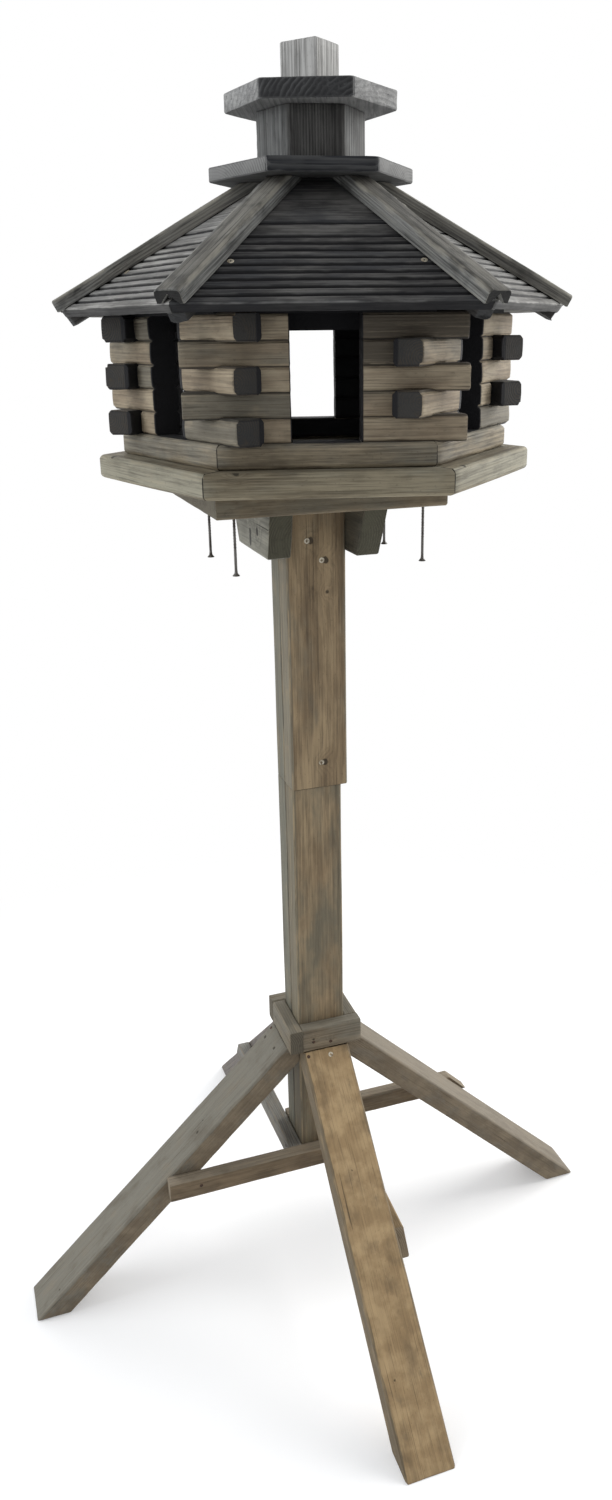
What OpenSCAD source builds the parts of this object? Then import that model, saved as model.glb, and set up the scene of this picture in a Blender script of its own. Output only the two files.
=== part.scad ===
// Hexagonal log-cabin bird feeder on a post with four sloping legs.
// The origin is on the floor, on the axis of the post, with +Z up and -Y the front.

/* [Legs] */
// Width of a leg
leg_w = 60; // [50:1:60]
// Thickness of a leg
leg_t = 30; // [24:1:34]
// Slope of the front and side legs above the floor
leg_slope = 44; // [42:0.2:50]
// Slope of the back leg
back_leg_slope = 42.8; // [42:0.2:50]
// Height of the top of the legs, where the collar sits
leg_top_z = 331; // [300:1:360]

/* [Collar and braces] */
// Thickness of the collar boards and the braces
board_t = 17; // [12:1:20]
// Height of the collar boards
collar_h = 32; // [25:1:45]
// Height of a brace
brace_h = 27; // [20:1:35]
// Height of the underside of the braces and of the post
brace_z = 150; // [120:1:170]

/* [Post] */
// Thickness of each post lath
lath_t = 30; // [28:1:32]
// Width of the two upper laths
upper_w = 68; // [60:1:72]
// Height of the joint between the lower and the upper laths
joint_z = 681; // [500:1:800]
// Height of the underside of the platform
platform_z = 1009; // [950:1:1100]

/* [Platform] */
// Width of the platform
platform_w = 246; // [220:1:260]
// Depth of the platform
platform_d = 214; // [200:1:220]
// Thickness of the platform
platform_t = 27; // [20:1:32]
// Length of the screws that stand out below the platform
screw_drop = 64; // [30:1:80]
// Thickness of a corbel
corbel_t = 26; // [20:1:30]
// Height of a corbel
corbel_h = 54; // [40:1:60]

/* [Tray] */
// Distance from the middle of the feeder to the outer face of a tray rail
tray_r = 200; // [195:1:215]
// Width of a tray rail
tray_w = 108; // [100:1:115]
// Thickness of the tray
tray_t = 24; // [18:1:28]
// Distance from the middle of the feeder to the outer face of a sill rail
sill_r = 177; // [174:1:182]
// Width of a sill rail
sill_w = 30; // [26:1:40]
// Thickness of a sill rail
sill_t = 23; // [18:1:28]

/* [Log walls] */
// Distance from the middle of the feeder to the outer face of a wall
wall_r = 172; // [165:1:174]
// Thickness of a log
log_t = 29; // [24:1:32]
// Height of a log
log_h = 22.4; // [18:0.2:24]
// Number of logs in a pile
courses = 5; // [3:1:5]
// Width of a window
window_w = 65; // [50:1:70]
// How far a log runs past the corner
log_overrun = 33; // [25:1:36]
// Radius of the edges of a log
log_edge = 4; // [2:0.5:8]

/* [Roof] */
// Distance from the middle of the feeder to the eaves
eave_r = 225; // [215:1:230]
// Height of the upper edge of the eaves
eave_z = 1203; // [1200:1:1206]
// Slope of a side of the roof
roof_slope = 32.4; // [31:0.1:34]
// Thickness of the roof boards
roof_t = 9; // [8:0.5:12]
// Width of the grooved lower boards, up the slope
lower_board_w = 125; // [110:1:135]
// Number of grooves in a lower board
grooves = 9; // [0:1:10]
// Distance between two grooves
groove_pitch = 11.6; // [10:0.1:12]
// Width of a hip batten
batten_w = 28; // [24:1:32]
// Thickness of a hip batten
batten_t = 13; // [11:0.5:18]
// Width of a hip rafter, under the boards
rafter_w = 18; // [14:1:22]

/* [Top] */
// Height where the roof is cut level
roof_top_z = 1317; // [1305:1:1320]
// Corner radius of the lower plate
lower_plate_r = 103; // [96:1:110]
// Corner radius of the drum
drum_r = 54.7; // [45:0.1:60]
// Height of the drum
drum_h = 49; // [40:1:60]
// Corner radius of the upper plate
upper_plate_r = 85.5; // [75:0.5:95]
// Side of the cap block
cap_w = 42; // [34:1:50]
// Height of the cap block
cap_h = 41; // [30:1:50]

/* [Placing] */
// How far the feeder sits to the right of the post
house_shift = 16; // [0:1:20]
// How far the roof sits to the right of the walls
roof_shift = 2; // [0:1:4]
// Turn of the feeder on the platform
house_turn = -15; // [-30:1:0]

/* [Hidden] */

far = 1000;

// Post, legs and braces, which are numbered front, right, back, left
post_half = lath_t;
back_leg_skew = 1.5;
leg_edge = 3;
board_edge = 1.5;
brace_reach = [216, 238, 228, 210];
brace_cut = [40, 45, 27, 0];
brace_drop = [20, 0, 0, 0];
collar_run = [[0, board_t], [0, board_t], [0, 0], [board_t, board_t]];

// Platform, corbels and screws
platform_edge = 2;
corbel_bottom = [-47, 68];
corbel_top = [-60, 95];
right_corbel_shift = 6;
screw_places = [[-95, -66], [113, -66], [113, 45], [-95, 45]];
screw_d = 3.6;
screw_head_d = 8;
screw_head_h = 3.2;

// Feeder
tray_z = platform_z + platform_t;
floor_t = tray_t - 4;
rail_edge = 4;
sill_z = tray_z + tray_t;
log_z = sill_z + sill_t;
wall_top_z = log_z + courses * log_h;
corner_u = wall_r * tan(30);
log_settle = 0.4;
plate_lip_w = 20;
plate_lip_h = 14.6;

// Roof and top
hips = [0, 60, 120, 180, 238, 303];
hip_r = eave_r / cos(30);
hip_slope = atan(tan(roof_slope) * cos(30));
batten_overhang = [2, 2, 2, 2, -3, 2];
batten_seat = 2.9;
notch_w = 17;
notch_h = 8.5;
rafter_h = 20;
rafter_r = 30;
board_gap = 1.5;
groove_size = 2;
batten_edge = 2.5;
lower_plate_t = 13;
upper_plate_t = 17;
drum_z = roof_top_z + lower_plate_t;
upper_plate_z = drum_z + drum_h;
cap_z = upper_plate_z + upper_plate_t;
lower_plate_turn = 3.5;
drum_turn = 2.5;
upper_plate_turn = -6.5;
cap_turn = 53;

// A side of the roof lies between hip k and the next hip
function next_hip(k) = k < 5 ? hips[k + 1] : hips[0] + 360;
function side_half(k) = (next_hip(k) - hips[k]) / 2;
function side_turn(k) = (next_hip(k) + hips[k]) / 2 + 90;
function side_eave(k) = hip_r * cos(side_half(k));
function side_slope(k) = atan(tan(hip_slope) / cos(side_half(k)));

// A rectangle with round corners, centred
module soft_rect(w, h, r) {
    square([w - 2 * r, h], center = true);
    square([w, h - 2 * r], center = true);
    for (x = [-1, 1], y = [-1, 1])
        translate([x * (w / 2 - r), y * (h / 2 - r)]) circle(r = r, $fn = 24);
}

// A bar along X with eased edges, from x = 0, centred on its axis
module bar(length, w, h, r) {
    rotate([90, 0, 90]) linear_extrude(length) soft_rect(w, h, r);
}

// An upright outline in x and z, w thick along y
module upright(w, points) {
    rotate([90, 0, 0]) linear_extrude(w, center = true) polygon(points);
}

// Everything on the feeder is placed by this
module on_post() {
    translate([house_shift, 0, 0]) rotate(house_turn) children();
}

// The roof sits a little to the right of the walls
module on_walls() {
    translate([house_shift + roof_shift, 0, 0]) rotate(house_turn) children();
}

// The sector of one side of the hexagon, with its outer face towards -Y
module sector(z, h, half = 30) {
    translate([0, 0, z]) linear_extrude(h)
        polygon([[0, 0], [-far * tan(half), -far], [far * tan(half), -far]]);
}

// ---- Stand ----

// A board leaning on the post: cut level at the floor, upright at the post and level
// under the collar
module leg(turn, slope = leg_slope, skew = 0) {
    reach = post_half + board_t + leg_top_z / tan(slope);
    run = leg_t / sin(slope);
    inner = post_half - 5;
    color("burlywood") rotate(turn) intersection() {
        rotate(skew) intersection() {
            upright(leg_w, [
                [reach, 0], [reach - leg_top_z / tan(slope), leg_top_z], [inner, leg_top_z],
                [inner, (reach - run - inner) * tan(slope)], [reach - run, 0],
            ]);
            translate([reach, 0, 0]) rotate([0, slope, 0])
                translate([-far, 0, -leg_t / 2]) bar(2 * far, leg_w, leg_t, leg_edge);
        }
        translate([post_half, -far / 2, 0]) cube(far);
    }
}

// A board beside the post and a leg. Its outer end is cut back at an angle and may lie
// lower than its inner end.
module brace(k, skew = 0) {
    length = post_half + brace_reach[k];
    color("sienna") rotate(90 * (k - 1)) intersection() {
        rotate(skew) translate([-post_half, post_half + board_t / 2, brace_z + brace_h / 2])
            rotate([0, atan(brace_drop[k] / length), 0]) intersection() {
                bar(far, board_t, brace_h, board_edge);
                upright(2 * board_t, [
                    [0, -brace_h / 2], [0, brace_h / 2],
                    [length - brace_h * tan(brace_cut[k]), brace_h / 2], [length, -brace_h / 2],
                ]);
            }
        translate([-far / 2, post_half, 0]) cube(far);
    }
}

// A short board on one face of the post, with how far it runs past the face at its two ends
module collar_board(turn, run) {
    color("burlywood") rotate(turn)
        translate([-post_half - run[0], -post_half - board_t / 2, leg_top_z + collar_h / 2])
            bar(2 * post_half + run[0] + run[1], board_t, collar_h, board_edge);
}

module collar_boards(first) {
    for (k = [first, first + 2]) collar_board(90 * k, collar_run[k]);
}

// One of the two laths that make the post, on the front (-1) or the back (1) of the joint
module lower_lath(side) {
    color("tan") translate([0, side * lath_t / 2, brace_z])
        linear_extrude(joint_z - brace_z) soft_rect(2 * post_half, lath_t, board_edge);
}

module upper_lath(side) {
    color("tan") translate([upper_w / 2 - post_half, side * lath_t / 2, joint_z])
        linear_extrude(platform_z - joint_z) soft_rect(upper_w, lath_t, board_edge);
}

// A block under the platform with a nearly square end and a slanting end
module corbel() {
    rotate([90, 0, 90]) linear_extrude(corbel_t) polygon([
        [corbel_bottom[0], -corbel_h], [corbel_bottom[1], -corbel_h], [corbel_top[1], 0], [corbel_top[0], 0],
    ]);
}

module corbels() {
    color("dimgray") {
        translate([-post_half - corbel_t, 0, platform_z]) corbel();
        translate([upper_w - post_half + corbel_t, right_corbel_shift, platform_z]) rotate(180) corbel();
    }
}

module platform() {
    color("rosybrown") translate([-platform_w / 2, 0, platform_z + platform_t / 2])
        bar(platform_w, platform_d, platform_t, platform_edge);
}

module hanging_screws() {
    color("silver") for (place = screw_places) translate([place[0], place[1], platform_z - screw_drop]) {
        cylinder(h = screw_drop, d = screw_d, $fn = 24);
        cylinder(h = screw_head_h, d1 = screw_head_d, d2 = screw_d, $fn = 24);
    }
}

// ---- Tray ----

// One rail of a hexagonal ring: mitred at both ends, its outer face at distance r
module rail(turn, r, w, z, h) {
    rotate(turn) intersection() {
        translate([-far / 2, -r + w / 2, z + h / 2]) bar(far, w, h, rail_edge);
        sector(z, h);
    }
}

module floor_board() {
    on_post() color("tan") translate([0, 0, tray_z])
        cylinder(h = floor_t, r = (tray_r - tray_w) / cos(30), $fn = 6);
}

module tray_rails(first) {
    on_post() color("darkkhaki")
        for (turn = [first : 120 : 359]) rail(turn, tray_r, tray_w, tray_z, tray_t);
}

module sill_rails(first) {
    on_post() color("gray")
        for (turn = [first : 120 : 359]) rail(turn, sill_r, sill_w, sill_z, sill_t);
}

// ---- Log walls ----

// A log along the wall from the window to beyond the corner, let a little into the log above
module long_log(settle) {
    h = log_h + settle;
    translate([window_w / 2, -wall_r + log_t / 2, h / 2])
        bar(corner_u + log_overrun - window_w / 2, log_t, h, log_edge);
}

// A log that stops against the inner face of the log of the next wall
module short_log(settle) {
    intersection() {
        long_log(settle);
        rotate(60) translate([-far / 2, -wall_r + log_t, -1]) cube([far, far, 2 * log_h]);
    }
}

// A pile of logs beside the window: every second log runs past the corner
module pile(first_long) {
    for (k = [0 : courses - 1]) translate([0, 0, log_z + k * log_h]) {
        settle = k < courses - 1 ? log_settle : 0;
        if ((k + first_long) % 2 == 1) long_log(settle);
        else short_log(settle);
    }
}

// The two piles of a wall, which interlock with the piles of its neighbours
module log_wall(turn) {
    on_post() color("peru") rotate(turn) {
        pile(1);
        mirror([1, 0, 0]) pile(0);
    }
}

// The rail on top of the logs, with a lip behind them, cut to the slope of the roof and
// notched for the rafters
module wall_plates(first) {
    inner = wall_r - log_t;
    lip = inner - plate_lip_w;
    lip_z = wall_top_z - plate_lip_h;
    color("saddlebrown") difference() {
        intersection() {
            on_post() for (turn = [first : 120 : 359]) rotate(turn) intersection() {
                rotate([90, 0, 90]) linear_extrude(far, center = true) polygon([
                    [-wall_r, wall_top_z], [-inner, wall_top_z], [-inner, lip_z], [-lip, lip_z],
                    [-lip, roof_top_z], [-wall_r, roof_top_z],
                ]);
                sector(lip_z, roof_top_z - lip_z);
            }
            on_walls() under_roof(roof_t);
        }
        hip_rafters();
    }
}

// ---- Roof ----

// Everything deeper than a given depth below the upper face of the roof and inside the
// cut of its eaves
module under_roof(depth) {
    intersection_for (k = [0 : 5]) rotate(side_turn(k)) translate([0, -side_eave(k), eave_z])
        rotate([side_slope(k), 0, 0]) translate([-far / 2, 0, -far - depth]) cube(far);
}

// A bar along a hip, from the corner of the eaves up to the level cut at the top
module along_hip(k, overhang) {
    intersection() {
        rotate(hips[k]) translate([hip_r, 0, eave_z]) rotate([0, hip_slope, 0])
            translate([overhang - far / 2, 0, 0]) rotate([90, 0, 90]) linear_extrude(far / 2) children();
        rotate(hips[k]) translate([rafter_r, -far / 2, eave_z - far / 2])
            cube([far, far, roof_top_z - eave_z + far / 2]);
    }
}

// The six rafters under the hips, their upper faces cut to the slopes of both sides
module hip_rafters() {
    on_walls() color("dimgray") intersection() {
        for (k = [0 : 5]) along_hip(k, roof_t)
            translate([-rafter_w / 2, -rafter_h]) square([rafter_w, rafter_h]);
        under_roof(roof_t);
    }
}

// One side of the roof: a grooved lower board and a plain upper board, mitred at the hips
module roof_panel(k) {
    on_walls() color("darkslategray") rotate(side_turn(k)) intersection() {
        translate([0, -side_eave(k), eave_z]) rotate([side_slope(k), 0, 0]) difference() {
            union() {
                translate([-far / 2, 0, -roof_t]) cube([far, lower_board_w, roof_t]);
                translate([-far / 2, lower_board_w + board_gap, -roof_t]) cube([far, far / 2, roof_t]);
            }
            if (grooves > 0) for (k = [1 : grooves])
                translate([0, k * groove_pitch, 0]) rotate([45, 0, 0])
                    cube([2 * far, groove_size, groove_size], center = true);
        }
        sector(eave_z - 2 * roof_t, roof_top_z - eave_z + 2 * roof_t, side_half(k));
    }
}

// A batten on a hip: a V notch in its underside clears the joint of the boards and its
// feet sit on both sides
module hip_batten(k) {
    difference() {
        along_hip(k, batten_overhang[k]) difference() {
            union() {
                translate([0, batten_t / 2 - batten_seat]) soft_rect(batten_w, batten_t, batten_edge);
                translate([-batten_w / 2, -batten_seat]) square([batten_w, batten_t / 2]);
            }
            polygon([[-notch_w / 2, -batten_seat], [0, notch_h - batten_seat], [notch_w / 2, -batten_seat]]);
        }
        under_roof(0);
    }
}

module hip_battens(numbers) {
    on_walls() color("lightgray") for (k = numbers) hip_batten(k);
}

// ---- Top ----

module hexagon_block(r, z, h, turn) {
    translate([0, 0, z]) rotate(turn) cylinder(h = h, r = r, $fn = 6);
}

module lower_plate() {
    on_post() color("slategray")
        hexagon_block(lower_plate_r, roof_top_z, lower_plate_t, lower_plate_turn);
}

module drum() {
    on_post() color("darkolivegreen") hexagon_block(drum_r, drum_z, drum_h, drum_turn);
}

module upper_plate() {
    on_post() color("slategray")
        hexagon_block(upper_plate_r, upper_plate_z, upper_plate_t, upper_plate_turn);
}

module cap_block() {
    on_post() color("silver") translate([0, 0, cap_z]) rotate(cap_turn)
        linear_extrude(cap_h) soft_rect(cap_w, cap_w, board_edge);
}

leg(-90);  // leg_front
leg(0);  // leg_right
leg(90, back_leg_slope, back_leg_skew);  // leg_back
leg(180);  // leg_left
brace(0);  // brace_front
brace(1);  // brace_right
brace(2, back_leg_skew);  // brace_back
brace(3);  // brace_left
collar_boards(0);  // collar_front_back
collar_boards(1);  // collar_sides
lower_lath(-1);  // post_front_lath
lower_lath(1);  // post_back_lath
upper_lath(-1);  // upper_post_front_lath
upper_lath(1);  // upper_post_back_lath
corbels();
platform();
hanging_screws();
floor_board();
tray_rails(0);  // tray_rails_1
tray_rails(60);  // tray_rails_2
sill_rails(0);  // sill_rails_1
sill_rails(60);  // sill_rails_2
log_wall(0);  // log_wall_front
log_wall(60);  // log_wall_front_right
log_wall(120);  // log_wall_back_right
log_wall(180);  // log_wall_back
log_wall(240);  // log_wall_back_left
log_wall(300);  // log_wall_front_left
wall_plates(0);  // wall_plates_1
wall_plates(60);  // wall_plates_2
hip_rafters();
roof_panel(4);  // roof_panel_front
roof_panel(5);  // roof_panel_front_right
roof_panel(0);  // roof_panel_back_right
roof_panel(1);  // roof_panel_back
roof_panel(2);  // roof_panel_back_left
roof_panel(3);  // roof_panel_front_left
hip_battens([4, 5]);  // hip_battens_front
hip_battens([0, 3]);  // hip_battens_sides
hip_battens([1, 2]);  // hip_battens_back
lower_plate();
drum();
upper_plate();
cap_block();
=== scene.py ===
import math

import bpy
from mathutils import Matrix, Vector, noise


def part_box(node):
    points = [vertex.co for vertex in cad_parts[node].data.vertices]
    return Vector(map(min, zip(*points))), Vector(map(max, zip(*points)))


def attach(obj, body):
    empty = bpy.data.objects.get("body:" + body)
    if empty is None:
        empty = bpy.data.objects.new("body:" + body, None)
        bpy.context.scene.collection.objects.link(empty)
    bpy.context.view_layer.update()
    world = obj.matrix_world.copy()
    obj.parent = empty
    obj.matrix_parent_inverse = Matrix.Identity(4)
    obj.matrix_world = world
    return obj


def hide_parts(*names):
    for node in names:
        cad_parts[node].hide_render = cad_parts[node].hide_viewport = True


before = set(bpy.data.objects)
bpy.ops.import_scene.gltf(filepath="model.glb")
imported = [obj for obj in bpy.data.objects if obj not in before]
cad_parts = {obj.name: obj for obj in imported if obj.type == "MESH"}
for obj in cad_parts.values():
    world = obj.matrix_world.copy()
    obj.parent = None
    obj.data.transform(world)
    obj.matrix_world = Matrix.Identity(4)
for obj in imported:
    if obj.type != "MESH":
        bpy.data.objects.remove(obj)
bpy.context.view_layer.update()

# ---- Lower post ----
# Two sawn pine laths stand back to back, front and back, and make the square post.
# They were stained when new, and rain and sun have worn the stain uneven.

MM = 0.001


def turned(degrees, axis="Z"):
    return Matrix.Rotation(math.radians(degrees), 4, axis)


def moved(x, y, z):
    return Matrix.Translation((x, y, z))


def along(points, gap):
    """The same outline with more points on its long flats, the first and last of them close to the edges."""
    filled = []
    for (y0, z0, wear), (y1, z1, _) in zip(points, points[1:] + points[:1]):
        filled.append((y0, z0, wear))
        length = math.hypot(y1 - y0, z1 - z0)
        if length > 4 * MM:
            count = max(1, round(length / gap))
            near = min(1.2 * MM / length, 0.3)
            for share in [near] + [near + (1 - 2 * near) * i / count for i in range(1, count)] + [1 - near]:
                filled.append((y0 + (y1 - y0) * share, z0 + (z1 - z0) * share, 0.0))
    return filled


def board_section(width, height, radius, gap=10 * MM):
    """The section of a sawn board with rubbed edges: (y, z, wear) points, anticlockwise from its far end."""
    points = []
    for corner, (sy, sz) in enumerate(((1, 1), (-1, 1), (-1, -1), (1, -1))):
        middle = (sy * (width / 2 - radius), sz * (height / 2 - radius))
        for step, wear in enumerate((0.0, 0.8, 1.0, 0.8, 0.0)):
            angle = math.radians(90 * corner + 22.5 * step)
            points.append((middle[0] + radius * math.cos(angle), middle[1] + radius * math.sin(angle), wear))
    return along(points, gap)


def sawn(place, point, normal):
    """Where a plane cuts timber that lies in a place: the x of the cut at each y and z of its section."""
    run = (place.to_3x3() @ Vector((1, 0, 0))).dot(Vector(normal))
    return lambda y, z: (Vector(point) - place @ Vector((0, y, z))).dot(Vector(normal)) / run


def skin(first, rings, count):
    """The faces over rings of points that are numbered from first on, and over the two ends."""
    last = first + (rings - 1) * count
    faces = []
    for low in range(first, last, count):
        for i in range(count):
            j = (i + 1) % count
            faces.append([low + i, low + j, low + count + j, low + count + i])
    faces.append([first + i for i in reversed(range(count))])
    faces.append([last + i for i in range(count)])
    return faces


def in_scene(name, data):
    """A new object in the scene."""
    made = bpy.data.objects.new(name, data)
    bpy.context.collection.objects.link(made)
    return made


class Piece:
    """One object of the feeder: timbers are added to it, and then it takes the place of its CAD nodes."""

    made = 0

    def __init__(self):
        self.points, self.faces = [], []
        self.grain, self.board, self.worn, self.tone = [], [], [], []
        self.cut, self.finish = [], []

    def timber(
        self, outline, start, end, place, pith, spacing=14 * MM, uneven=0.35 * MM, ease=0.8 * MM,
        fibre=(0, 1, 2), tone=0.5, finish=0, mitred=False,
    ):
        """Adds a length of timber along x of its place. start and end are its ends, each as an x or as a
        function of y and z in the section. pith is where the heart of the tree was, and fibre the order of
        the axes if the fibres lie across. ease is how far the sawn edges are rubbed off, tone how grey the
        wood is, finish which of the piece's materials it has, and mitred says that dirt sits in the joints
        at its ends."""
        Piece.made += 1
        luck = Vector((17.3, 5.1, 9.7)) * Piece.made
        first, count = len(self.points), len(outline)
        flat = [Vector((y, z)) for y, z, _ in outline]
        runs = [flat[(i + 1) % count] - flat[i - 1] for i in range(count)]
        outward = [Vector((run.y, -run.x)).normalized() for run in runs]
        starts, ends = (
            [cut(y, z) if callable(cut) else cut for y, z, _ in outline] for cut in (start, end)
        )
        steps = max(1, round(max(b - a for a, b in zip(starts, ends)) / spacing))
        shares = [i / steps for i in range(steps + 1)]
        rows = [(0.0, 0.0, ease)] + [(share, 1.5 * ease * (1 - 2 * share), 0.0) for share in shares]
        rows.append((1.0, 0.0, ease))
        for share, shift, inset in rows:
            for i, (y, z, wear) in enumerate(outline):
                x = starts[i] + (ends[i] - starts[i]) * share + shift
                wave = noise.noise(Vector((x * 11, y * 45, z * 45)) + luck)
                chip = noise.noise(Vector((x * 90, y * 60, z * 60)) + luck)
                push = uneven * wave - inset - wear * uneven * (0.7 + max(0.0, chip * 2.5))
                spot = Vector((x, y + outward[i].x * push, z + outward[i].y * push))
                if inset:
                    torn = abs(noise.noise(Vector((y * 70, z * 70, share)) + luck))
                    spot.x += (1 if share == 0 else -1) * 0.6 * ease * torn
                self.points.append(place @ spot)
                fibrous = Vector([spot[axis] for axis in fibre])
                self.grain.extend(fibrous + Vector((luck.x, pith[0], pith[1])))
                self.board.extend(spot)
                self.worn.append(-1.0 if mitred and inset else max(wear, 0.6 if inset else 0.0))
                self.tone.append(tone)
        lengthwise = place.to_3x3() @ Vector([1.0 if fibre[0] == axis else 0.0 for axis in range(3)])
        for face in skin(first, len(rows), count):
            a, b, c = (self.points[face[i]] for i in (0, len(face) // 3, 2 * len(face) // 3))
            facing = abs((b - a).cross(c - b).normalized().dot(lengthwise.normalized()))
            self.faces.append(face)
            self.finish.append(finish)
            self.cut.append(min(1.0, max(0.0, 3 * facing - 1.6)))

    def fix(self, name, nodes, slot, *materials):
        """Makes the mesh, gives it its finish and puts it in place of the CAD nodes."""
        mesh = bpy.data.meshes.new(name)
        mesh.from_pydata(self.points, [], self.faces)
        for field, kind, domain, values in (
            ("grain", "FLOAT_VECTOR", "POINT", self.grain), ("board", "FLOAT_VECTOR", "POINT", self.board),
            ("worn", "FLOAT", "POINT", self.worn), ("tone", "FLOAT", "POINT", self.tone),
            ("cut", "FLOAT", "FACE", self.cut),
        ):
            if values:
                layer = mesh.attributes.new(field, kind, domain)
                layer.data.foreach_set("value" if kind == "FLOAT" else "vector", values)
        for material in materials:
            mesh.materials.append(material)
        mesh.polygons.foreach_set("material_index", self.finish)
        mesh.shade_smooth()
        mesh.set_sharp_from_angle(angle=math.radians(38))
        piece = in_scene(name, mesh)
        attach(piece, "root")
        if nodes:
            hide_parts(*nodes)


class Field:
    """One value, vector or colour as it varies over a surface. Arithmetic on values adds Math nodes."""

    def __init__(self, socket):
        self.socket = socket
        self.tree = socket.id_data

    @staticmethod
    def node(tree, kind, settings, inputs, output=0):
        """Any shader node: its settings go first, and then the values or fields of its sockets."""
        made = tree.nodes.new("ShaderNode" + kind)
        for key, value in settings.items():
            setattr(made, key, value)
        for key, value in inputs.items():
            if isinstance(value, Field):
                value.into(made, key)
            else:
                made.inputs[key].default_value = value
        return Field(made.outputs[output])

    def maths(self, operation, *values, kind="Math", output=0):
        inputs = dict(enumerate(values))
        return Field.node(self.tree, kind, {"operation": operation}, inputs, output)

    def __add__(self, other):
        return self.maths("ADD", self, other)

    def __sub__(self, other):
        return self.maths("SUBTRACT", self, other)

    def __rsub__(self, other):
        return self.maths("SUBTRACT", other, self)

    def __mul__(self, other):
        return self.maths("MULTIPLY", self, other)

    def __truediv__(self, other):
        return self.maths("DIVIDE", self, other)

    def __mod__(self, other):
        return self.maths("FLOORED_MODULO", self, other)

    def __abs__(self):
        return self.maths("ABSOLUTE", self)

    __radd__ = __add__
    __rmul__ = __mul__

    def into(self, node, socket):
        """Feeds this value to a socket of a node."""
        self.tree.links.new(self.socket, node.inputs[socket])

    def most(self, other):
        return self.maths("MAXIMUM", self, other)

    def eased(self, low, high, start=0.0, end=1.0):
        """From start to end as this value goes from low to high, smoothly."""
        settings = {"interpolation_type": "SMOOTHSTEP"}
        inputs = {"Value": self, "From Min": low, "From Max": high, "To Min": start, "To Max": end}
        return Field.node(self.tree, "MapRange", settings, inputs)

    def mixed(self, colour, share):
        """This colour with a share of another one."""
        inputs = {0: share, 6: self, 7: colour if isinstance(colour, Field) else (*colour, 1.0)}
        return Field.node(self.tree, "Mix", {"data_type": "RGBA"}, inputs, 2)

    def stretched(self, x, y, z):
        return self.maths("MULTIPLY", self, (x, y, z), kind="VectorMath")

    def part(self, axis):
        """One of the three numbers of a vector."""
        return Field.node(self.tree, "SeparateXYZ", {}, {0: self}, axis)

    def measured(self, operation, *vectors):
        """A length or distance of vectors."""
        return self.maths(operation, self, *vectors, kind="VectorMath", output=1)

    def cloud(self, detail=2.0, roughness=0.5):
        """Noise over these coordinates, mostly between 0.3 and 0.7."""
        inputs = {"Vector": self, "Scale": 1.0, "Detail": detail, "Roughness": roughness}
        return Field.node(self.tree, "TexNoise", {}, inputs)


def paint(name):
    """A new material: the material, its tree and its shader."""
    material = bpy.data.materials.new(name)
    material.use_nodes = True
    return material, material.node_tree, material.node_tree.nodes["Principled BSDF"]


def times(factor, numbers):
    """Every number times a factor."""
    return [factor * number for number in numbers]


def plain_colour(tree, colour):
    """A colour to start from."""
    return Field.node(tree, "Mix", {"data_type": "RGBA"}, {0: 0.0, 6: (*colour, 1.0)}, 2)


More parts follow.
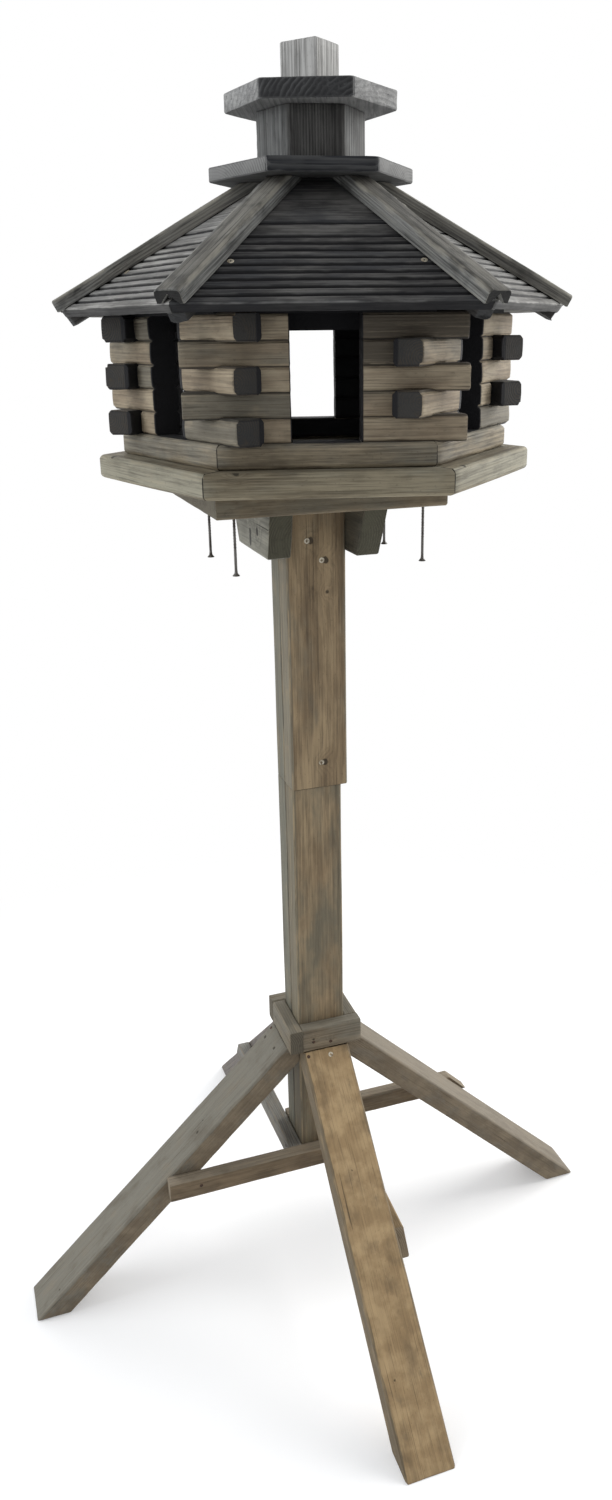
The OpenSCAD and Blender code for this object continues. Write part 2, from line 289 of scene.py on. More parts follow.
def weathered(
    name, pale, brown, grey, dark, greyed=0.5, ring=2.8 * MM, contrast=0.3, ends=(0.03, 0.028, 0.026),
    knots=(), wild=0.5, rubbed=0.4, roughness=0.74, gloss=0.3, relief=0.45, patch=(8, 22, 22),
    streaky=0.3, mottled=0.3, threads=0.35, faded=0.4, top_grey_and_light=0.1, side_grey_and_light=0.0, bare=None,
    stained=None,
):
    """Stained and weathered pine. pale is the bare wood, brown the stain, grey what weathering has made of
    it, which is also the colour of painted light on some faces, and dark its late wood and dirt. knots are
    (x, y, z, radius) in the timber's own place, in mm, and wild is how many more there are by chance. ends is
    the colour of the sawn ends and bare that of rubbed edges. top_grey_and_light is how much more grey the
    upper faces get, from weathering and as painted light (below zero, the lower faces get it as painted light
    from below), side_grey_and_light how much more the faces to the left and right get, as painted light and
    shade, and stained marks what is brushed with black stain."""
    material, tree, shader = paint(name)

    def layer(field, output):
        return Field.node(tree, "Attribute", {"attribute_name": field}, {}, output)

    grain, board = layer("grain", "Vector"), layer("board", "Vector")
    worn, tone, cut = layer("worn", "Fac"), layer("tone", "Fac"), layer("cut", "Fac")

    # Knots push the rings aside
    cell = {"Vector": grain.stretched(5.5, 11, 11), "Scale": 1.0}
    rough_edge = grain.stretched(150, 260, 260).cloud(1.0)
    away = Field.node(tree, "TexVoronoi", {}, cell) + 0.06 * rough_edge
    chance = Field.node(tree, "TexVoronoi", {}, cell, 1)
    lucky = chance.part(0).eased(1 - wild, 1 - wild + 0.01)
    knot = away.eased(0.07, 0.13, 1.0, 0.0) * lucky
    swirl = away.eased(0.0, 0.45, 2.0, 0.0) * lucky
    for *spot, radius in (times(MM, sizes) for sizes in knots):
        far = board.measured("DISTANCE", spot) + 0.003 * rough_edge
        knot = knot.most(far.eased(radius, radius + 1.6 * MM, 1.0, 0.0))
        swirl = swirl + far.eased(0.0, 4.5 * radius, 2.4, 0.0)

    # Year rings round the pith, seen as grain lines on the faces and as arcs on the ends
    wander = grain.stretched(2.4, 16, 16).cloud(2.0) - 0.5
    radius = grain.stretched(0, 1, 1).measured("LENGTH") + 0.012 * wander
    year = (radius / ring + swirl + 1.1 * grain.stretched(6, 80, 80).cloud(2.0)) % 1.0
    late = year.eased(0.25, 0.85) * year.eased(0.9, 1.0, 1.0, 0.0)
    late = late * (0.3 + 0.7 * grain.stretched(4, 45, 45).cloud(3.0).eased(0.35, 0.62))

    # Fibres, dark streaks and short drying cracks along the grain
    fibre = grain.stretched(18, 900, 900).cloud(2.0, 0.6)
    thread = grain.stretched(9, 330, 330).cloud(4.0, 0.7)
    streak = grain.stretched(5.0, 130, 130).cloud(5.0, 0.65)
    crack = grain.stretched(7.0, 420, 420).cloud(1.0).eased(0.7, 0.76) * streak.eased(0.42, 0.58)

    # The stain lies in patches, the dirt in mottles, and both are rubbed off the edges
    # Painted light: faces that point up (or down, with a number below zero) and faces that point left and
    # right get more of the grey coat; on upper faces this is also weathering.
    facing = Field.node(tree, "NewGeometry", {}, {}, 1)
    weather_and_light = top_grey_and_light * facing.part(2) + side_grey_and_light * abs(facing.part(0))
    patches = 0.15 + 0.7 * grain.stretched(*patch).cloud(4.0, 0.6) + 0.9 * (tone - 0.5) + weather_and_light
    mottle = grain.stretched(26, 46, 46).cloud(3.0, 0.58)
    speck = grain.stretched(260, 420, 420).cloud(1.0)
    edge = worn * rubbed * grain.stretched(30, 90, 90).cloud(3.0).eased(0.4, 0.66)
    colour = plain_colour(tree, pale)
    for coat, share in (
        (brown, grain.stretched(1.4 * patch[0], 34, 34).cloud(4.0, 0.6).eased(0.36, 0.62)),
        (grey, patches.eased(0.66 - 0.5 * greyed, 0.84 - 0.5 * greyed)),
        (dark, mottled * mottle.eased(0.48, 0.72)),
        (pale, faded * mottle.eased(0.46, 0.3)),
        (dark, 0.8 * tone.eased(0.7, 1.0)),
        (dark, contrast * late),
        (dark, threads * thread.eased(0.5, 0.68)),
        (times(1.3, pale), 0.6 * threads * thread.eased(0.47, 0.34)),
        (dark, streaky * streak.eased(0.5, 0.72)),
        (times(0.5, dark), 0.4 * fibre.eased(0.54, 0.74)),
        (times(0.5, dark), 0.2 * speck.eased(0.66, 0.76)),
        (bare or [min(0.8, part) for part in times(1.25, pale)], edge.most(0.0)),
        (times(0.2, dark), worn.eased(-0.1, -0.9)),
        (times(0.35, dark), 0.85 * knot.most(crack)),
        (ends, 0.96 * cut),
        (dark, cut * (0.6 * late).most(0.6 * streak.eased(0.5, 0.75))),
    ):
        colour = colour.mixed(coat, share)
    if stained:
        brushed = 0.004 + 0.012 * streak
        stain = Field.node(tree, "CombineColor", {}, {0: brushed, 1: brushed, 2: 1.15 * brushed})
        colour = colour.mixed(stain, stained(board))
    colour.into(shader, "Base Color")

    height = 0.5 * fibre + 0.8 * streak + 0.45 * late - 1.5 * crack - 0.6 * knot + 0.3 * mottle
    bump = {"Strength": relief, "Distance": 0.9 * MM, "Height": height}
    Field.node(tree, "Bump", {}, bump).into(shader, "Normal")
    rough = roughness + 0.25 * (streak - 0.5) + 0.1 * cut
    rough.into(shader, "Roughness")
    shader.inputs["Specular IOR Level"].default_value = gloss
    return material


def lath(node, pith, material):
    """A lath of the post, as long and as wide as its node, standing on end."""
    low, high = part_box(node)
    piece = Piece()
    place = moved((low[0] + high[0]) / 2, (low[1] + high[1]) / 2, low[2]) @ turned(-90, "Y")
    section = board_section(high[1] - low[1], high[0] - low[0], 2.2 * MM)
    piece.timber(section, 0.0, high[2] - low[2], place, pith, ease=0.5 * MM)
    piece.fix(node + "_timber", [node], "post_pine", material)


def joint(side):
    """The dark line where a lath meets the other one: side is 1 on the front lath and -1 on the back one."""
    return lambda board: (side * board.part(1)).eased(13.4 * MM, 14.4 * MM)


post_tan = dict(
    pale=(0.35, 0.262, 0.155), brown=(0.23, 0.165, 0.095), dark=(0.07, 0.052, 0.034), contrast=0.2,
    mottled=0.15, threads=0.45, faded=0.25, side_grey_and_light=0.35,
)
lower_front = weathered(
    "lower post front, tan pine", grey=(0.172, 0.151, 0.105), stained=joint(1), **post_tan,
)
post_back = weathered(
    "post back, green-grey pine", grey=(0.15, 0.147, 0.115), greyed=0.75, stained=joint(-1), **post_tan,
)
lath("post_front_lath", (0.046, 0.008), lower_front)
lath("post_back_lath", (-0.05, 0.012), post_back)

# ---- Upper post ----
# Two shorter and wider laths of the same pine stand on the lower ones and carry the platform.
# The front one has a knot near its top, and the wood is darker in a ring round each of its three screws.

post_screws = ((-6.6, 969), (10, 947), (6.1, 712))
lath_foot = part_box("upper_post_front_lath")[0][2] / MM
upper_knots = [(230.6, -14, -11.9, 3)] + [(z - lath_foot, -15, -x, 4.5) for x, z in post_screws]
upper_front = weathered(
    "upper post front, tan pine", grey=(0.19, 0.17, 0.125), greyed=0.35, knots=upper_knots, stained=joint(1),
    **post_tan,
)
lath("upper_post_front_lath", (0.05, -0.012), upper_front)
lath("upper_post_back_lath", (-0.044, 0.004), post_back)

# ---- Legs ----
# Four boards of the same pine lean on the four faces of the post. Each is cut level at the ground,
# upright against the post and level again under the collar. The back one leans a little further out.

leg_thick = 30 * MM
leg_wide = 60 * MM
ground_gap = 1 * MM
board_thick = 17 * MM
post_half = 30 * MM
leg_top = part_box("leg_front")[1][2]


def leg(node, turn, material, skew=0.0):
    """A leg whose foot reaches as far out as its node."""
    low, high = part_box(node)
    reach = max(abs(low[0]), abs(low[1]), abs(high[0]), abs(high[1]))
    slope = math.atan(leg_top / (reach - post_half - board_thick))
    place = turned(turn + skew) @ moved(reach, 0, 0) @ turned(math.degrees(slope), "Y")
    place = place @ moved(0, 0, -leg_thick / 2)
    outward = turned(turn).to_3x3() @ Vector((1, 0, 0))
    against = sawn(place, post_half * outward, outward)
    level = sawn(place, (0, 0, leg_top), (0, 0, 1))
    ground = sawn(place, (0, 0, ground_gap), (0, 0, 1))
    section = board_section(leg_wide, leg_thick, 2.4 * MM, gap=6 * MM)
    piece = Piece()
    piece.timber(section, lambda y, z: max(against(y, z), level(y, z)), ground, place, (0.004, 0.042))
    piece.fix(node + "_timber", [node], "leg_pine", material)


leg_look = dict(
    wild=0.15, contrast=0.15, streaky=0.08, threads=0.2, faded=0.25, patch=(26, 40, 40), rubbed=0.3,
    mottled=0.5,
)
leg_taupe = dict(
    pale=(0.235, 0.188, 0.128), brown=(0.175, 0.137, 0.092), dark=(0.1, 0.08, 0.056), top_grey_and_light=0.55,
    **leg_look,
)
front_knots = [(-328, -5, 15, 1.5), (-276, -3, 15, 1.2), (-391, -17, 15, 1.2), (-101, -15, 15, 1.5)]
left_knots = [(-314, 10, 15, 2.5), (-327, 1, 15, 2), (-46, 19, 15, 2), (-457, -21, 15, 3), (-461, 10, 15, 3)]
leg_front_pine = weathered(
    "front leg, tan pine", (0.42, 0.3, 0.162), (0.3, 0.205, 0.105), (0.15, 0.12, 0.078),
    (0.13, 0.09, 0.05), greyed=0.2, knots=front_knots, top_grey_and_light=0.0, side_grey_and_light=0.5, **leg_look,
)
leg_left_pine = weathered(
    "left leg, green-grey pine", grey=(0.19, 0.18, 0.148), greyed=0.35, knots=left_knots, **leg_taupe,
)
leg_right_pine = weathered("right leg, taupe pine", grey=(0.195, 0.168, 0.128), greyed=0.35, **leg_taupe)
leg_back_pine = weathered("back leg, violet-grey pine", grey=(0.17, 0.155, 0.145), greyed=0.9, **leg_taupe)
leg("leg_front", -90, leg_front_pine)
leg("leg_left", 180, leg_left_pine)
leg("leg_right", 0, leg_right_pine)
leg("leg_back", 90, leg_back_pine, skew=1.5)

# ---- Collar ----
# Four short pine boards are nailed round the post on top of the legs, and each runs on over the end of
# the next. The left one has shrunk a little away from the back one.

collar_pine = weathered(
    "collar, grey-brown pine", (0.25, 0.2, 0.135), (0.165, 0.128, 0.082), (0.17, 0.155, 0.12),
    (0.05, 0.04, 0.028), ends=(0.11, 0.096, 0.07), ring=2.4 * MM, wild=0.3,
    knots=[(14, -7, 1, 2.5), (36, -7, -3, 2)],
)
low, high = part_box("collar_sides")
collar_height, collar_middle = high[2] - low[2], (low[2] + high[2]) / 2
shrunk = (0.0, 0.0, 0.0, 1.5 * MM)


def collar(node, numbers):
    """Two boards on opposite sides of the post."""
    piece = Piece()
    for k in numbers:
        place = turned(90 * k) @ moved(-post_half, -post_half - board_thick / 2, collar_middle)
        section = board_section(board_thick, collar_height, 1.5 * MM, gap=5 * MM)
        piece.timber(
            section, shrunk[k], 2 * post_half + board_thick, place, (0.03, 0.006), spacing=8 * MM,
            ease=0.5 * MM,
        )
    piece.fix(node + "_boards", [node], "leg_pine", collar_pine)


collar("collar_front_back", (0, 2))
collar("collar_sides", (1, 3))

# ---- Braces ----
# Four thin pine battens tie the legs to the foot of the post. Each runs beside its leg, one nail holds
# it at each end, and three are sawn off at a slant. The front one hangs down towards its leg.

brace_tall = 27 * MM
inner_nail, outer_nail = 18 * MM, 40 * MM
nail_places = []
brace_look = dict(
    pale=(0.23, 0.17, 0.105), brown=(0.15, 0.112, 0.07), dark=(0.045, 0.033, 0.021), ring=2.4 * MM,
    ends=(0.25, 0.21, 0.155),
)
# Painted light: the tops of the side braces get more of their light taupe grey, for the light that falls on
# them.
brace_brown = weathered(
    "side braces, brown pine", grey=(0.25, 0.21, 0.155), greyed=0.3, top_grey_and_light=0.5, **brace_look,
)
brace_ochre = weathered(
    "front brace, ochre pine", grey=(0.27, 0.19, 0.1), greyed=0.6, mottled=0.6,
    knots=[(188, -8, 2, 4), (210, -8, -4, 3)], **brace_look,
)
brace_grey = weathered("back brace, grey pine", grey=(0.2, 0.195, 0.175), greyed=0.95, **brace_look)


def brace(node, turn, slant, material, drop=0.0, skew=0.0):
    """A brace with its outer end cut back by slant degrees. Its end lies lower than its start by drop."""
    low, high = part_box(node)
    length = max(abs(low[0]), abs(low[1]), abs(high[0]), abs(high[1])) + post_half
    start = moved(-post_half, post_half + board_thick / 2, high[2] - brace_tall / 2)
    tip = turned(math.degrees(math.atan(drop / length)), "Y")
    place = turned(turn + skew) @ moved(0, post_half * math.sin(math.radians(skew)), 0) @ start @ tip

    def outer(y, z):
        return length - (z + brace_tall / 2) * math.tan(math.radians(slant))

    piece = Piece()
    section = board_section(board_thick, brace_tall, 1.5 * MM, gap=5 * MM)
    piece.timber(section, 0.0, outer, place, (0.028, 0.01), ease=0.5 * MM)
    for x in (inner_nail, length - outer_nail):
        nail_places.append(place @ moved(x, board_thick / 2, 2 * MM) @ turned(-90, "X"))
    piece.fix(node + "_batten", [node], "brace_pine", material)


brace("brace_front", -90, 40, brace_ochre, drop=20 * MM)
brace("brace_right", 0, 45, brace_brown)
brace("brace_back", 90, 27, brace_grey, skew=1.5)
brace("brace_left", 180, 0, brace_brown)

# ---- Corbels ----
# Two pine offcuts stiffen the joint under the platform, one on each side of the post.
# Each has one end sawn nearly square and the other at a slant.

# Painted shade: the sawn ends, which face down at the front, are dark olive, and so is all of the right
# corbel, for the shade they stand in.
corbel_look_and_shade = dict(
    brown=(0.1, 0.082, 0.058), dark=(0.035, 0.03, 0.023), ends=(0.072, 0.069, 0.046), contrast=0.35,
)
corbel_knots = [(18, 13, -19, 4.5), (18, 13, -13, 4.5), (18, 13, -7, 4.5), (-10, 13, -3, 5.2)]
corbel_left_pine = weathered(
    "left corbel, pale grey pine", (0.3, 0.28, 0.225), grey=(0.25, 0.245, 0.205), greyed=0.8,
    knots=corbel_knots, **corbel_look_and_shade,
)
corbel_right_shaded_pine = weathered(
    "right corbel, pine painted dark olive for shade", (0.12, 0.105, 0.075), grey=(0.075, 0.07, 0.052), greyed=0.7,
    **corbel_look_and_shade,
)
low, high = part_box("corbels")
corbel_thick, corbel_tall = 26 * MM, high[2] - low[2]
corbel_bottom, corbel_top = (-47 * MM, 68 * MM), (-60 * MM, 95 * MM)
left_x, right_x = low[0] + corbel_thick / 2, high[0] - corbel_thick / 2
right_shift = 6 * MM


def corbel_end(side):
    """The slanting cut at one end of a corbel: side is 0 at its start and 1 at its end."""
    rise = (corbel_top[side] - corbel_bottom[side]) / corbel_tall
    return lambda y, z: corbel_bottom[side] + rise * (z + corbel_tall / 2)


piece = Piece()
for finish, (x, shift, turn) in enumerate(((left_x, 0.0, 90), (right_x, right_shift, -90))):
    place = moved(x, shift, high[2] - corbel_tall / 2) @ turned(turn)
    section = board_section(corbel_thick, corbel_tall, 1.5 * MM)
    piece.timber(section, corbel_end(0), corbel_end(1), place, (0.04, 0.01), finish=finish)
piece.fix("corbels_timber", ["corbels"], "platform_pine", corbel_left_pine, corbel_right_shaded_pine)

# ---- Platform ----
# A thick board on top of the post, which the feeder stands on. Its wood is the same weathered pine,
# and its edges are rubbed.

platform_pine = weathered(
    "platform, grey-brown pine", (0.255, 0.206, 0.135), (0.16, 0.127, 0.082), (0.175, 0.158, 0.118),
    (0.05, 0.04, 0.028), ends=(0.16, 0.145, 0.11),
)
low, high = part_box("platform")
piece = Piece()
place = moved(low[0], (low[1] + high[1]) / 2, (low[2] + high[2]) / 2)
section = board_section(high[1] - low[1], high[2] - low[2], 2.5 * MM)
piece.timber(section, 0.0, high[0] - low[0], place, (0.02, 0.05))
piece.fix("platform_board", ["platform"], "platform_pine", platform_pine)

# ---- Screws ----
# Four long countersunk screws, gone dark, stick out under the platform. Shorter zinc-plated ones, gone dull
# and brown, show as heads in the post and the legs, and rusty nails in the legs, the collar and the braces.


def old_steel(name, bright, tarnished, fineness, detail, spread, roughness, metallic=0.0):
    """Steel with cloudy marks of tarnish or rust, in the colour tarnished."""
    material, tree, shader = paint(name)
    spot = Field.node(tree, "TexCoord", {}, {}, "Object")
    marks = spot.stretched(*fineness).cloud(detail, 0.6)
    plain_colour(tree, bright).mixed(tarnished, marks.eased(*spread)).into(shader, "Base Color")
    marks.eased(*roughness).into(shader, "Roughness")
    shader.inputs["Metallic"].default_value = metallic
    return material


steel_dull = old_steel(
    "dull zinc-plated steel", (0.5, 0.46, 0.37), (0.2, 0.16, 0.11), (260, 260, 160), 4.0, (0.44, 0.62),
    (0.35, 0.65, 0.28, 0.6), metallic=0.7,
)
steel_dark = old_steel(
    "steel gone dark", (0.115, 0.108, 0.098), (0.04, 0.033, 0.027), (260, 260, 160), 4.0, (0.42, 0.62),
    (0.35, 0.65, 0.4, 0.7),
)
steel_rusty = old_steel(
    "rusty nail heads", (0.085, 0.04, 0.02), (0.018, 0.012, 0.009), (700, 700, 700), 3.0, (0.42, 0.6),
    (0.3, 0.7, 0.6, 0.9),
)


class Turning(Piece):
    """Round steel work: rings of points along an axis."""

    def rings(self, place, profile, sides=20, finish=0):
        """profile gives, along the axis, a height and the radius as a number or a function of the angle."""
        first = len(self.points)
        for height, radius in profile:
            for i in range(sides):
                angle = 2 * math.pi * i / sides
                r = radius(angle) if callable(radius) else radius
                self.points.append(place @ Vector((r * math.cos(angle), r * math.sin(angle), height)))
        made = skin(first, len(profile), sides)
        self.faces += made
        self.finish += [finish] * len(made)


def recess(reach, neck):
    """The outline of a cross recess: out to reach on four sides, in to neck between them."""

    def radius(angle):
        off = abs((angle + math.pi / 4) % (math.pi / 2) - math.pi / 4)
        return min(reach, neck / max(math.sin(off), 0.2))

    return radius


def screw_head(unit):
    """The profile of a countersunk head, 8 units across, from its neck to the bottom of the recess."""
    return [
        (-2.6 * unit, 1.8 * unit), (-0.2 * unit, 3.7 * unit), (0.0, 4 * unit), (0.25 * unit, 3.8 * unit),
        (0.3 * unit, 3.0 * unit), (0.25 * unit, recess(2.4 * unit, 0.55 * unit)),
        (-1.2 * unit, recess(1.5 * unit, 0.4 * unit)),
    ]


long_head, small_head = screw_head(1.0 * MM), screw_head(0.8 * MM)
nail = [
    (-1.0 * MM, 1.2 * MM), (-0.3 * MM, 2.0 * MM), (0.0, 2.3 * MM), (0.25 * MM, 2.1 * MM),
    (0.35 * MM, 1.2 * MM),
]

head_r, head_rise, neck = 4 * MM, 0.3 * MM, 6 * MM
root_r, core_r, shaft_r, thread_tall = 1.8 * MM, 1.35 * MM, 1.45 * MM, 0.25 * MM
threads, threaded, shaft_from = 13, 0.62, 0.36
low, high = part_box("hanging_screws")
drop = high[2] - low[2]
shank = [(-drop + head_rise, root_r)]
for i in range(threads * 4):
    crest = thread_tall if i % 4 == 2 else 0.0
    shank.append((-drop * (1 - threaded * i / (threads * 4)), core_r + crest))
shank += [(-drop * shaft_from, shaft_r), (-neck, shaft_r)]
screws = Turning()
for x in (low[0] + head_r, high[0] - head_r):
    for y in (low[1] + head_r, high[1] - head_r):
        screws.rings(moved(x, y, low[2] + head_rise) @ turned(180, "X"), shank + long_head, sides=24)
screws.fix("hanging_screws_steel", ["hanging_screws"], "screw_steel", steel_dark)

collar_nails = ((-16.3, 343.8), (6.3, 339.7))
leg_nail, leg_screw = (6 * MM, -24.8 * MM, 0), (9 * MM, 3.9 * MM, 0)
leg_slope = math.atan(leg_top / (-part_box("leg_front")[0][1] - post_half - board_thick))
fixings = Turning()
for x, z in post_screws:
    fixings.rings(moved(x * MM, -post_half - 0.2 * MM, z * MM) @ turned(90, "X"), small_head)
for x, z in collar_nails:
    fixings.rings(moved(x * MM, -post_half - board_thick, z * MM) @ turned(90, "X"), nail, finish=1)
for turn in (-90, 0, 90, 180):
    on_leg = turned(turn) @ moved(post_half + board_thick, 0, leg_top) @ turned(math.degrees(leg_slope), "Y")
    fixings.rings(on_leg @ moved(*leg_nail), nail, finish=1)
    if turn in (-90, 90):
        fixings.rings(on_leg @ moved(*leg_screw), small_head)
for place in nail_places:
    fixings.rings(place, nail, finish=1)
fixings.fix("screw_and_nail_heads", [], "screw_steel", steel_dull, steel_rusty)

# ---- Tray ----
# Six wide pine rails, mitred at the corners of a hexagon, lie on the platform, and the floor board fills
# the middle. All that lies inside the walls is brushed with black stain, as are the plates on top of them.

cap_low, cap_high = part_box("cap_block")
house_turn = -15
house = moved((cap_low[0] + cap_high[0]) / 2, (cap_low[1] + cap_high[1]) / 2, 0) @ turned(house_turn)
tan30 = math.tan(math.radians(30))
wall_outer, mitre_gap = 172 * MM, 0.3 * MM


def ring(name, node, first, outer, width, material, pith):
    """Three of the six mitred rails of a ring, as deep as their node, with their outer faces at outer."""
    low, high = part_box(node)
    section = board_section(width, high[2] - low[2], 4 * MM, gap=9 * MM)

    def right(y, z):
        return tan30 * (outer - width / 2 - y) - mitre_gap

    piece = Piece()
    for k in (first, first + 2, first + 4):
        place = house @ turned(60 * k) @ moved(0, -outer + width / 2, (low[2] + high[2]) / 2)
        piece.timber(
            section, lambda y, z: -right(y, z), right, place, pith, uneven=0.5 * MM, ease=0.4 * MM,
            mitred=True,
        )
    piece.fix(name, [node], "tray_pine", material)


tray_outer, tray_wide = 200 * MM, 108 * MM
inside_tray = tray_outer - tray_wide / 2 - wall_outer + 2 * MM


def tray_stain(board):
    """All of the rails' upper faces that lies inside the walls."""
    return board.part(1).eased(-inside_tray, -inside_tray + 2 * MM) * board.part(2).eased(10 * MM, 11 * MM)


# Painted light: the tray's left and right faces get more of its lighter grey coat, for the light that falls
# on them.
tray_pine = weathered(
    "tray, grey-green pine", (0.275, 0.24, 0.165), (0.148, 0.121, 0.078), (0.275, 0.26, 0.198),
    (0.05, 0.041, 0.028), greyed=0.2, streaky=0.45, threads=0.5, side_grey_and_light=0.35, patch=(5, 20, 20),
    knots=[(-85, -50, 12, 4)], stained=tray_stain,
)
for first, node in enumerate(("tray_rails_1", "tray_rails_2")):
    ring(node + "_boards", node, first, tray_outer, tray_wide, tray_pine, (0.05, 0.04))

black_stain, tree, shader = paint("black stain on sawn pine")
spot = Field.node(tree, "TexCoord", {}, {}, "Object")
brushing = spot.stretched(60, 60, 60).cloud(5.0, 0.6)
colour = plain_colour(tree, (0.004, 0.004, 0.005)).mixed((0.01, 0.01, 0.011), brushing.eased(0.4, 0.65))
colour.into(shader, "Base Color")
brushing.eased(0.3, 0.7, 0.7, 0.9).into(shader, "Roughness")
shader.inputs["Specular IOR Level"].default_value = 0.2
sawn_marks = spot.stretched(300, 300, 300).cloud(3.0, 0.6) + 2 * brushing
bump = {"Strength": 0.4, "Distance": 0.8 * MM, "Height": sawn_marks}
Field.node(tree, "Bump", {}, bump).into(shader, "Normal")
for node in ("floor_board", "wall_plates_1", "wall_plates_2"):
    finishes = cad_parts[node].data.materials
    finishes.clear()
    finishes.append(black_stain)

# ---- Sill ----
# Six narrower pine rails on the tray, set back from its edge and mitred too, carry the log walls.
# Under the windows and behind the walls they are stained black.

sill_outer, sill_wide, window_half = 177 * MM, 30 * MM, 32.5 * MM


def sill_stain(board):
    """The tops of the rails under the windows, and their inner faces."""
    under_window = abs(board.part(0)).eased(window_half, window_half - 1 * MM)
    past_edge = board.part(1).eased(-sill_wide / 2 + 4 * MM, -sill_wide / 2 + 5 * MM)
    on_top = past_edge * board.part(2).eased(9 * MM, 10 * MM)
    return (under_window * on_top).most(board.part(1).eased(13 * MM, 14 * MM))


sill_pine = weathered(
    "sill, grey-brown pine", (0.32, 0.268, 0.185), (0.165, 0.135, 0.09), (0.21, 0.195, 0.155),
    (0.04, 0.033, 0.024), ring=2.4 * MM, streaky=0.45, threads=0.55, stained=sill_stain,
)
for first, node in enumerate(("sill_rails_1", "sill_rails_2")):
    ring(node + "_laths", node, first, sill_outer, sill_wide, sill_pine, (0.035, 0.012))

# ---- Log walls ----
# Each wall is two piles of five short pine logs, rubbed round at the edges, beside a tall window.
# At the corners every second log runs on past its neighbour, and the sawn ends are stained black.

sides = ["front", "front_right", "back_right", "back", "back_left", "front_left"]
log_thick, log_tall, courses = 29 * MM, 22.4 * MM, 5
cos30 = math.cos(math.radians(30))
corner = wall_outer * tan30
overrun = 33 * MM
log_lap = 2 * MM
corner_reach = 5 * MM


def log_stain(board):
    """Black inside and round the windows, and painted shade in the seams between the logs."""
    at_window = abs(board.part(0)).eased(window_half + 1.5 * MM, window_half + 0.7 * MM)
    seam = 0.75 * abs(board.part(2)).eased(log_tall / 2 - 1.3 * MM, log_tall / 2 - 0.2 * MM)
    return board.part(1).eased(8 * MM, 10 * MM).most(at_window).most(seam)


log_pine = weathered(
    "logs, tan-grey pine", (0.365, 0.305, 0.215), (0.24, 0.19, 0.13), (0.165, 0.15, 0.115),
    (0.06, 0.048, 0.035), greyed=0.45, ends=(0.023, 0.0245, 0.026), ring=2.6 * MM, rubbed=0.15,
    stained=log_stain,
)
# How grey each log is, from the sill up, to the right (1) and to the left (-1) of a window: first in the
# front wall and in every second wall from there, and then in the walls between them
log_tones = (
    {1: (0.25, 0.45, 0.35, 0.95, 1.0), -1: (0.1, 0.7, 0.2, 0.5, 0.15)},
    {1: (0.7, 0.2, 0.1, 0.5, 0.15), -1: (0.3, 0.25, 0.7, 0.5, 0.75)},
)


def log_section(height):
    """A log with rubbed edges and a belly: its outer face stands out a little in the middle."""
    points = []
    for y, z, wear in board_section(log_thick, height, 3.4 * MM, gap=4 * MM):
        belly = 0.7 * MM * math.cos(math.pi * z / height)
        points.append((y - belly if y < 0 else y, z, wear))
    return points


for k, where in enumerate(sides):
    node = "log_wall_" + where
    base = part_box(node)[0][2]
    piece = Piece()
    for course in range(courses):
        for hand in (1, -1):
            runs_past = (course % 2 == 0) == (hand == 1)
            middle = wall_outer - log_thick / 2
            place = house @ turned(60 * k) @ moved(0, -middle, base + (course + 0.5) * log_tall)
            past = overrun + (3 * noise.noise(Vector((k, course, hand)) * 7.7) - 1) * MM

            def outer_end(y, z):
                if runs_past:
                    return corner + past
                return (wall_outer - log_thick - 0.5 * (middle - y)) / cos30 - mitre_gap

            # Beside the front corners the logs reach a little further into the window.
            beside_front = (where, hand) in (("front_left", 1), ("front_right", -1))
            jamb = window_half - (corner_reach if beside_front else 0.0)
            section = log_section(log_tall + log_lap)
            cuts = (jamb, outer_end) if hand == 1 else (lambda y, z: -outer_end(y, z), -jamb)
            piece.timber(
                section, *cuts, place, (0.012, 0.004 * math.sin(3.7 * Piece.made)), spacing=6 * MM,
                uneven=1.0 * MM, tone=log_tones[k % 2][hand][course],
            )
    piece.fix(node + "_logs", [node], "log_pine", log_pine)

# ---- Hip rafters ----
# Six pine rafters run up under the hips from the eaves. Their upper faces are planed to the slopes of
# the two sides that meet there, and their ends show below the eaves.

# The roof sits a little to the right of the walls, and its two front hips are not quite at the corners.
roof = moved(2 * MM, 0, 0) @ house
hips = [0, 60, 120, 180, 238, 303]
eave_top, level = 1203 * MM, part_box("roof_panel_front")[1][2]
eaves_out, side_slope = 225 * MM, math.radians(32.4)
hip_r = eaves_out / cos30
hip_slope = math.atan(math.tan(side_slope) * cos30)
board_depth = 9 * MM


class Side:
    """One side of the roof, between hip k and the next: its turn, half its angle, its eaves and its slope."""

    def __init__(self, k):
        after = hips[(k + 1) % 6] + (360 if k == 5 else 0)
        self.turn = (after + hips[k]) / 2 + 90
        self.half = math.radians((after - hips[k]) / 2)
        self.eave = hip_r * math.cos(self.half)
        self.slope = math.atan(math.tan(hip_slope) / math.cos(self.half))
        self.place = roof @ turned(self.turn) @ moved(0, -self.eave, eave_top)
        self.place = self.place @ turned(math.degrees(self.slope), "X")

    def edge(self, y, z):
        """Half the width of the side at a distance y up the slope."""
        return math.tan(self.half) * (self.eave - y * math.cos(self.slope) + z * math.sin(self.slope))


roof_sides = [Side(k) for k in range(6)]
hip_places = [
    roof @ turned(hip) @ moved(hip_r, 0, eave_top) @ turned(math.degrees(hip_slope), "Y") for hip in hips
]


def under_boards(k, y):
    """The height of the boards' undersides beside hip k, at y across it, in the hip's own place."""
    face = roof_sides[k if y >= 0 else k - 1].place.to_3x3() @ Vector((0, 0, 1))
    face = hip_places[k].to_3x3().inverted() @ face
    return (-board_depth - face.y * y) / face.z


